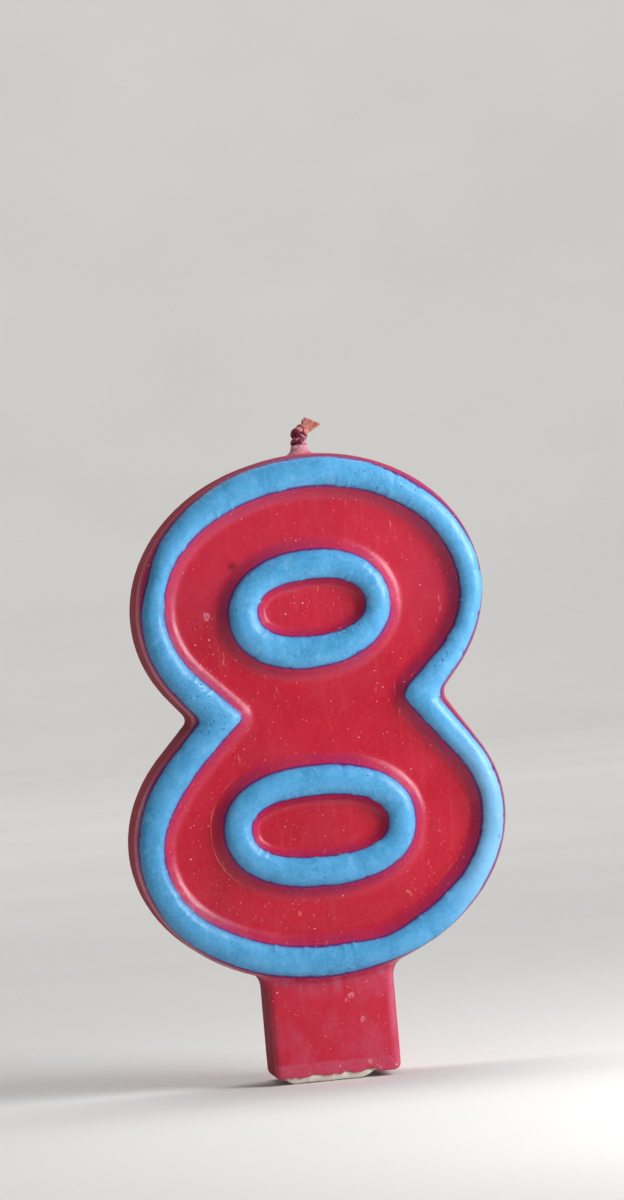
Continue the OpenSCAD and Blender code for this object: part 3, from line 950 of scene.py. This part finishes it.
def fibres(start, heading, across, depth, count, draw):
    """Loose cotton that lies along a yarn's end and frays out past the cut."""
    verts, faces, total = [], [], 0
    for _ in range(count):
        turn, reach = draw.uniform(0, 2 * math.pi), math.sqrt(draw.uniform(0.15, 1.0))
        u, v = reach * math.cos(turn), reach * math.sin(turn)
        back = draw.uniform(0.15, 0.8)
        root = start + across * u * YARN_W * 0.92 + depth * v * YARN_D * 0.92 - heading * back
        to_cut = back + u * YARN_W * 0.92 * CUT_SLANT
        spread_u = 0.12 * u + draw.normal(0, 0.05)
        spread_v = 0.12 * v + draw.normal(0, 0.05)
        aim = heading + across * spread_u + depth * spread_v
        aim /= np.linalg.norm(aim)
        length = max(0.1, to_cut + draw.uniform(-0.03, 0.14))
        t = np.linspace(0, 1, 6)[:, None]
        sag = across * draw.normal(0, 0.06) + depth * draw.normal(0, 0.06)
        path = root + aim * length * t + sag * t ** 2
        radius = 0.042 * (1 - 0.55 * t)
        side = np.cross(aim, depth)
        side /= np.linalg.norm(side)
        up = np.cross(side, aim)
        part, loops = tube(path, np.tile(side, (6, 1)), np.tile(up, (6, 1)), radius, 6)
        verts.append(part)
        faces += [tuple(n + total for n in loop) for loop in loops]
        total += len(part)
    return np.vstack(verts), faces


def wick_strand(index):
    """One yarn of the braid, lumpy with its plies, its cut end frayed."""
    s = np.arange(WICK_LEN - WICK_FINE_LEN, WICK_LEN, WICK_RING)
    free = np.clip((s - (WICK_LEN - FREE_LEN)) / (0.6 * FREE_LEN), 0, 1)
    free = free * free * (3 - 2 * free)
    # At the cut the yarns lie in the order in which the braid leaves them
    leaving = [math.sin(2 * math.pi * ((WICK_LEN - FREE_LEN) / PLAIT + k / 3)) for k in range(3)]
    rank = sorted(range(3), key=lambda k: leaving[k]).index(index) - 1
    s = np.concatenate([np.arange(0, WICK_LEN - WICK_FINE_LEN, WICK_RING_INSIDE), s])
    phase = 2 * math.pi * (s / PLAIT + index / 3)
    free = np.concatenate([np.zeros(len(s) - len(free)), free])[:, None]
    keep = s < WICK_LEN + FREE_GAP * CUT_SLANT * (rank - 1)
    s, phase, free = s[keep], phase[keep], free[keep]
    middle, across = wick_line(s)
    depth = np.tile([0.0, 1.0, 0.0], (len(s), 1))
    sway = (SWAY_W * np.sin(phase))[:, None] * (1 - free) + FREE_GAP * rank * free
    swing = (SWAY_D * np.sin(2 * phase))[:, None] * (1 - free)
    path = middle + across * sway + depth * swing
    sides = 32
    angle = np.arange(sides) * 2 * math.pi / sides
    ply = np.abs(np.cos(3.5 * (angle[None, :] - 2.4 * s[:, None])))
    oval = np.hypot(YARN_W * np.cos(angle), YARN_D * np.sin(angle))[None, :]
    lump = noise(np.stack([0 * s, 0 * s + 9 * index, s], -1), 0.7, 40)[:, None]
    radius = oval * (0.9 + 0.13 * ply + 0.07 * lump) * (1 - 0.12 * free)
    # The last rings turn to lie along the cut
    forward = np.stack([-across[:, 2], 0 * s, across[:, 0]], -1)
    turned = np.clip((s - s[-1] + 1.0) / 1.0, 0, 1)[:, None]
    verts, faces = tube(path, across + forward * CUT_SLANT * turned, depth, radius, sides)
    bare = np.repeat(np.clip((s - (WICK_LEN - BARE_LEN)) / 0.4, 0, 1), sides)
    heading = path[-1] - path[-3]
    heading /= np.linalg.norm(heading)
    draw = np.random.default_rng(50 + index)
    loose, loops = fibres(path[-1], heading, across[-1], depth[-1], LOOSE_FIBRES, draw)
    faces += [tuple(n + len(verts) for n in loop) for loop in loops]
    obj = new_object(f"wick_strand_{index + 1}_yarn", np.vstack([verts, loose]), faces, WICK_COTTON)
    set_attribute(obj, "bare", np.concatenate([bare, [0.0], np.ones(1 + len(loose))]))
    return obj


def wick_wax():
    """Wax soaked into the middle of the braid, above the collar."""
    start = COLLAR_TOP_Z - 0.7 - WICK_BOTTOM_Z
    s = np.arange(start, WICK_LEN - BARE_LEN, WICK_RING)
    middle, across = wick_line(s)
    depth = np.tile([0.0, 1.0, 0.0], (len(s), 1))
    sides = 40
    angle = np.arange(sides) * 2 * math.pi / sides
    rings, turns = np.meshgrid(s, angle, indexing="ij")
    around = np.stack([np.cos(turns), np.sin(turns), rings], -1).reshape(-1, 3)
    lumps = 0.12 * noise(around, 0.55, 44) + 0.06 * noise(around, 0.25, 45)
    lumps = lumps.reshape(rings.shape)
    up = np.clip((s - start) / 1.4, 0, 1)[:, None]
    radius = (COLLAR_R - 0.08) * (1 - up) ** 2 + (0.62 + lumps) * (1 - (1 - up) ** 2)
    radius = radius * np.sqrt(np.clip((s[-1] - s) / 0.4, 0.05, 1))[:, None]
    squash = np.hypot(np.cos(angle), 0.8 * np.sin(angle))[None, :]
    return tube(middle, across, depth, radius * squash, sides)


# ---------------------------------------------------------------- assembly
def place(piece, slot, *nodes):
    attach(piece, "root")
    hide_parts(*nodes)


def thin_out(obj, spare):
    """Takes most faces out of a piece where spare is true for its points."""
    group = obj.vertex_groups.new(name="thin")
    group.add(np.flatnonzero(spare).tolist(), 1.0, "REPLACE")
    thin = obj.modifiers.new("thin", "DECIMATE")
    thin.vertex_group = group.name
    thin.ratio = 1 - THINNED_OUT * np.mean(spare)
    view = bpy.context.evaluated_depsgraph_get()
    mesh = bpy.data.meshes.new_from_object(obj.evaluated_get(view))
    obj.modifiers.clear()
    obj.vertex_groups.clear()
    obj.data = mesh


def hidden_or_flat(verts):
    """True on the skin's inner face and on the flat of its back."""
    flat_place = verts[:, [0, 2]]
    inward = sample(outline_map, flat_place)
    on_front = verts[:, 1] < red_front(flat_place) + 0.3
    on_wall = inward > -0.3
    on_back = verts[:, 1] > BACK_Y - 0.3
    flat_back = (verts[:, 1] > BACK_Y - 0.02) & (inward < -1.5)
    root = (np.hypot(verts[:, 0] - WICK_X, verts[:, 1]) < ROOT_R) & (verts[:, 2] > WICK_ROOT_Z)
    return (flat_back | ~(on_front | on_wall | on_back)) & ~root


def dipped_skin():
    """The red skin with the wax at the wick, and what its material reads."""
    verts, quads = red_overdip()
    film, loops = wick_wax()
    faces = [tuple(q) for q in quads] + [tuple(n + len(verts) for n in loop) for loop in loops]
    verts = np.vstack([verts, film])
    obj = new_object("red_overdip_skin", verts, faces, RED_WAX)
    thin_out(obj, hidden_or_flat(verts))
    verts = np.empty(3 * len(obj.data.vertices))
    obj.data.vertices.foreach_get("co", verts)
    verts = verts.reshape(-1, 3) / MM
    flat_place = verts[:, [0, 2]]
    on_front = verts[:, 1] < FIELD_Y + 0.6
    gaps = np.where(on_front, sample(ridge_gap, flat_place), NO_RIDGE_GAP)
    set_attribute(obj, "ridge_gap", gaps)
    set_attribute(obj, "painted_glint", sample(painted_glint_foot, flat_place) * on_front)
    depth = np.minimum(verts[:, 1] - FIELD_Y, BACK_Y - verts[:, 1])
    set_attribute(obj, "wall", np.clip((depth - 0.2) / 0.8, 0, 1))
    return obj


place(dipped_skin(), "red_wax", "red_overdip")
place(wax_core(), "core_wax", "wax_core")
place(bead("outline_bead_wax", field_curve, edge_curve, 60), "blue_wax", "outline_bead")
place(bead("upper_ring_wax", ring(UPPER_COUNTER), ring(UPPER_RING), 70), "blue_wax", "upper_ring_bead")
place(bead("lower_ring_wax", ring(LOWER_COUNTER), ring(LOWER_RING), 80), "blue_wax", "lower_ring_bead")
for strand in range(3):
    place(wick_strand(strand), "wick_cotton", f"wick_strand_{strand + 1}")


# ------------------------------------------------------------------- stage
def floor():
    """A pale round floor whose far edge sweeps up into a low wall."""
    n = Nodes("pale_floor")
    colour = n.mix(n.ramp(n.noise(0.01, 3), 0.3, 0.7), (0.79, 0.78, 0.755), (0.82, 0.81, 0.785))
    n.set("Base Color", colour)
    n.set("Roughness", 0.8)
    n.set("Specular IOR Level", 0.2)
    radius, bend, sides = 1300.0, 800.0, 96
    profile = [(r, 0.0) for r in np.linspace(100, radius, 13)]
    profile += [(radius + bend * math.sin(a), bend * (1 - math.cos(a)))
                for a in np.linspace(0, math.radians(75), 14)[1:]]
    verts = [(0.0, 0.0, 0.0)]
    for r, z in profile:
        verts += [(r * math.cos(2 * math.pi * k / sides), r * math.sin(2 * math.pi * k / sides), z)
                  for k in range(sides)]
    faces = [(0, 1 + k, 1 + (k + 1) % sides) for k in range(sides)]
    for i in range(len(profile) - 1):
        for k in range(sides):
            a, b = 1 + i * sides + k, 1 + i * sides + (k + 1) % sides
            faces.append((a, a + sides, b + sides, b))
    obj = new_object("floor", verts, faces, n.material)


def lamp(name, place_mm, target_mm, size_mm, power, colour):
    data = bpy.data.lights.new(name, "AREA")
    data.shape = "RECTANGLE"
    data.size, data.size_y = (s * MM for s in size_mm)
    data.energy = power
    data.color = colour
    obj = bpy.data.objects.new(name, data)
    obj.location = Vector(place_mm) * MM
    aim = Vector(target_mm) - Vector(place_mm)
    obj.rotation_euler = aim.to_track_quat("-Z", "Y").to_euler()
    obj.visible_camera = False
    bpy.context.scene.collection.objects.link(obj)


def light():
    world = bpy.data.worlds.new("studio")
    world.use_nodes = True
    world.node_tree.nodes["Background"].inputs["Color"].default_value = (0.97, 0.98, 1.0, 1)
    world.node_tree.nodes["Background"].inputs["Strength"].default_value = 0.2
    bpy.context.scene.world = world
    middle = (1, -5, 43)
    lamp("key", (153, -114, 114), middle, (100, 115), 0.5, (0.98, 0.985, 1.0))
    lamp("back_wall", (0, 500, 1500), (0, 1800, 100), (1600, 900), 20.0, (1.0, 1.0, 1.0))


def camera():
    """Camera at the photograph's angle: 7 degrees to the left, level, rolled."""
    distance, azimuth, roll = 600.0, math.radians(-7), math.radians(-5)
    aim = Vector((1.59, CREST_Y + 0.8, 59.14))
    back = Vector((math.sin(azimuth), -math.cos(azimuth), 0))
    data = bpy.data.cameras.new("camera")
    data.sensor_width = 36
    data.lens = 36 * distance / (PICTURE_H_PX / PX_PER_MM)
    data.clip_start, data.clip_end = 0.05, 10
    obj = bpy.data.objects.new("camera", data)
    obj.location = (aim + back * distance) * MM
    spin = back.to_track_quat("Z", "Y").to_matrix().to_4x4()
    obj.rotation_euler = spin.to_euler()
    obj.rotation_euler.rotate_axis("Z", roll)
    bpy.context.scene.collection.objects.link(obj)
    bpy.context.scene.camera = obj


floor()
light()
camera()
bpy.context.scene.view_settings.view_transform = "Standard"
